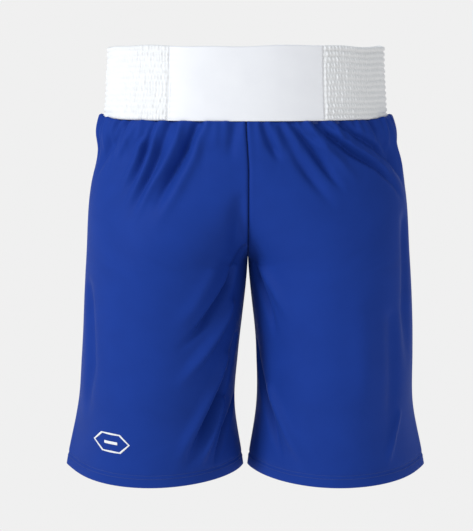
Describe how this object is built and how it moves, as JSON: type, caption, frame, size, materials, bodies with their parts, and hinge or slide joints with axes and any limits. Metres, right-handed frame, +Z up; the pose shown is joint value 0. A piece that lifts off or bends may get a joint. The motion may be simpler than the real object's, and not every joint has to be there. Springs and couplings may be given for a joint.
{
  "type": "boxing shorts",
  "caption": "Long amateur boxing shorts, filled out as worn, with a tall shirred elastic waistband, a smooth front panel and flared legs.",
  "frame": {"origin": "centre of the waist opening, level with the waistband's top edge", "axes": "+Z up, -Y the front, +X the wearer's left"},
  "size_m": [0.4452, 0.2273, 0.5202],
  "materials": {
    "white_satin": "smooth satin, soft sheen",
    "white_shirring": "matt elastic cloth gathered in rows",
    "white_elastic": "matt woven elastic and interlining",
    "white_thread": "polyester sewing thread",
    "blue_knit": "smooth polyester warp knit, soft sheen",
    "blue_thread": "polyester sewing and overlocking thread",
    "label_tape": "smooth woven label tape"
  },
  "bodies": {
    "waist": {"waistband_front_cover": "white_satin", "waistband_back_cover": "white_shirring", "waistband_interlining": "white_elastic", "waistband_elastic": "white_elastic", "waistband_left_join_stitch": "white_thread", "waistband_right_join_stitch": "white_thread", "waist_overlock": "blue_thread", "size_label": "label_tape", "care_label": "label_tape", "front_rise_overlock": "blue_thread", "back_rise_overlock": "blue_thread", "shirring_row_01": "white_thread", "shirring_row_02": "white_thread", "shirring_row_03": "white_thread", "shirring_row_04": "white_thread", "shirring_row_05": "white_thread", "shirring_row_06": "white_thread", "shirring_row_07": "white_thread", "shirring_row_08": "white_thread", "shirring_row_09": "white_thread", "shirring_row_10": "white_thread", "shirring_row_11": "white_thread", "shirring_row_12": "white_thread", "left_front_hip_panel": "blue_knit", "left_back_hip_panel": "blue_knit", "left_side_overlock_hip": "blue_thread", "left_inseam_overlock_hip": "blue_thread", "right_front_hip_panel": "blue_knit", "right_back_hip_panel": "blue_knit", "right_side_overlock_hip": "blue_thread", "right_inseam_overlock_hip": "blue_thread"},
    "left_leg": {"left_front_leg_panel": "blue_knit", "left_back_leg_panel": "blue_knit", "left_side_overlock_leg": "blue_thread", "left_inseam_overlock_leg": "blue_thread", "left_hem_turn_up": "blue_knit", "left_hem_stitching": "blue_thread"},
    "right_leg": {"emblem_border": "white_thread", "emblem_bar": "white_thread", "right_front_leg_panel": "blue_knit", "right_back_leg_panel": "blue_knit", "right_side_overlock_leg": "blue_thread", "right_inseam_overlock_leg": "blue_thread", "right_hem_turn_up": "blue_knit", "right_hem_stitching": "blue_thread"}
  },
  "joints": [
    {"name": "left_leg_swing", "type": "hinge", "parent": "waist", "child": "left_leg", "pos_m": [0.1, 0, -0.2], "axis": [-1, 0, 0], "range_deg": [-20, 45]},
    {"name": "right_leg_swing", "type": "hinge", "parent": "waist", "child": "right_leg", "pos_m": [-0.1, 0, -0.2], "axis": [-1, 0, 0], "range_deg": [-20, 45]}
  ]
}
